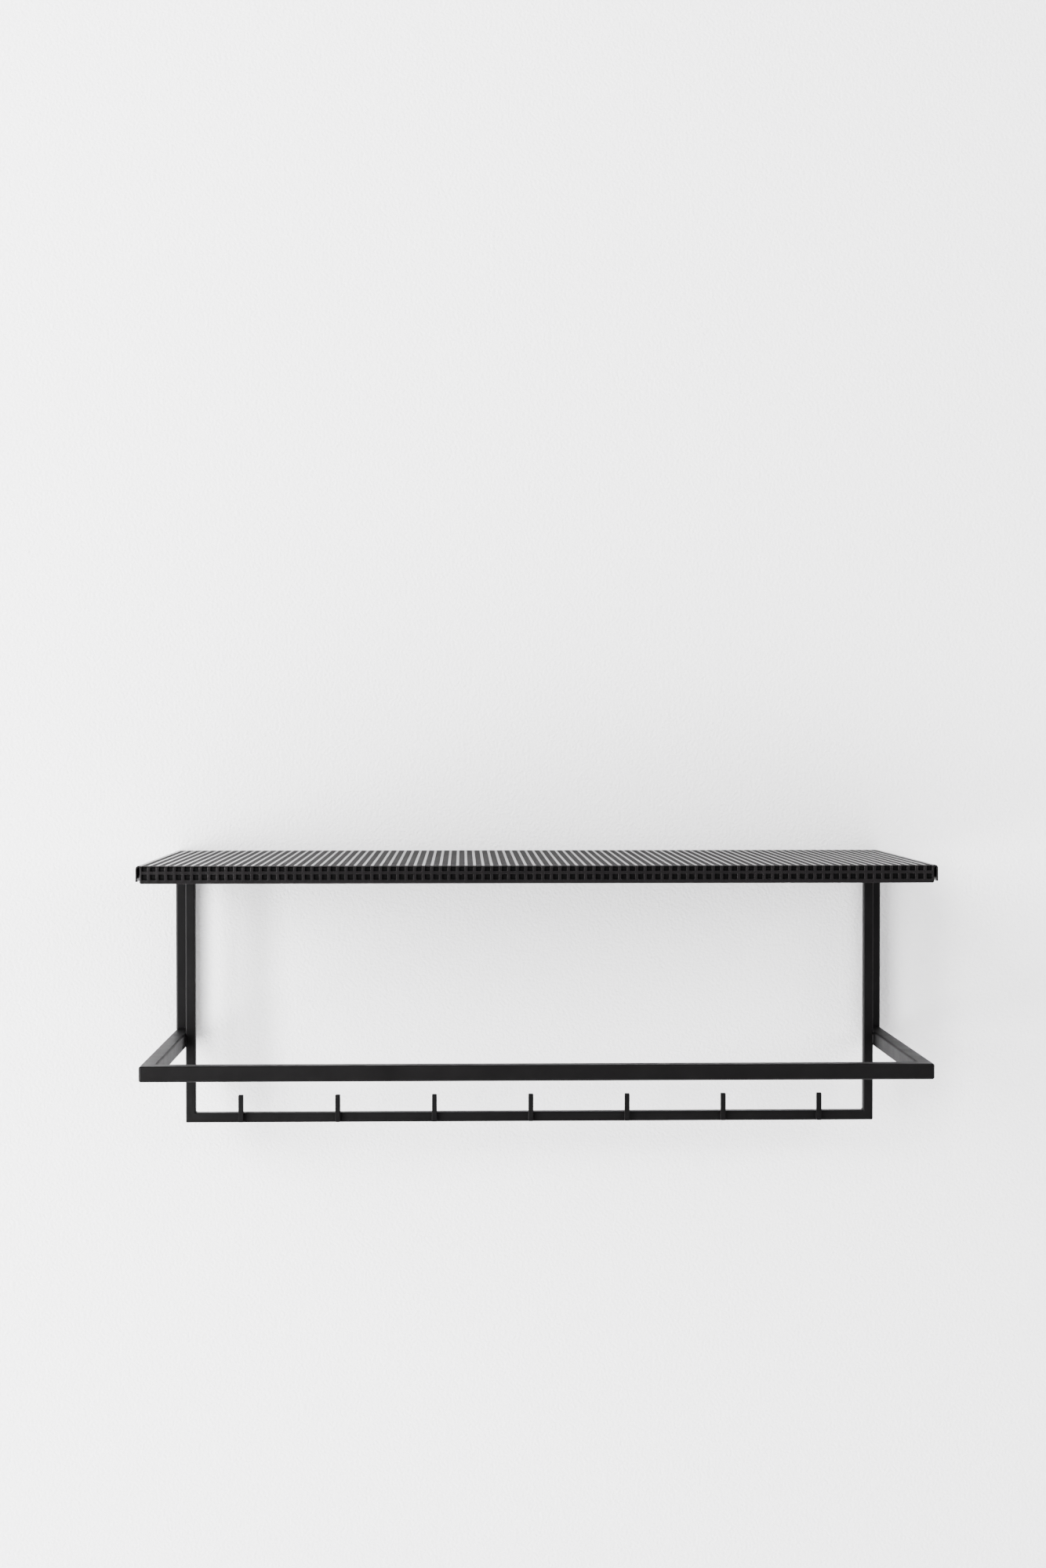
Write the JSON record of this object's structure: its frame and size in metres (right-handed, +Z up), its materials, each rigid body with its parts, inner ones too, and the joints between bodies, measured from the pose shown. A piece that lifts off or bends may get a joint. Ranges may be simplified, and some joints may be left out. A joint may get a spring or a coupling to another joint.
{
  "type": "wall-mounted coat rack",
  "caption": "Black steel wall coat rack: perforated hat shelf, coat rail on two side arms and a drop frame with a rail of upright hook pegs.",
  "frame": {"origin": "on the wall, midway between the two wall screw holes", "axes": "+X along the rack to the right as seen from the room, +Y into the wall, +Z up"},
  "size_m": [0.753, 0.3, 0.2815],
  "materials": {
    "frame_coat": "satin black powder coat on welded square steel tube",
    "sheet_coat": "satin black powder coat on perforated steel sheet"
  },
  "bodies": {
    "root": {"hat_shelf": "sheet_coat", "shelf_front_bar": "frame_coat", "shelf_rear_bar": "frame_coat", "shelf_side_bar_left": "frame_coat", "shelf_side_bar_right": "frame_coat", "wall_post_left": "frame_coat", "wall_post_right": "frame_coat", "side_arm_left": "frame_coat", "side_arm_right": "frame_coat", "coat_rail": "frame_coat", "drop_post_left": "frame_coat", "drop_post_right": "frame_coat", "hook_rail": "frame_coat", "hook_peg_1": "frame_coat", "hook_peg_2": "frame_coat", "hook_peg_3": "frame_coat", "hook_peg_4": "frame_coat", "hook_peg_5": "frame_coat", "hook_peg_6": "frame_coat", "hook_peg_7": "frame_coat", "wall_tab_left": "frame_coat", "wall_tab_right": "frame_coat"}
  },
  "joints": []
}
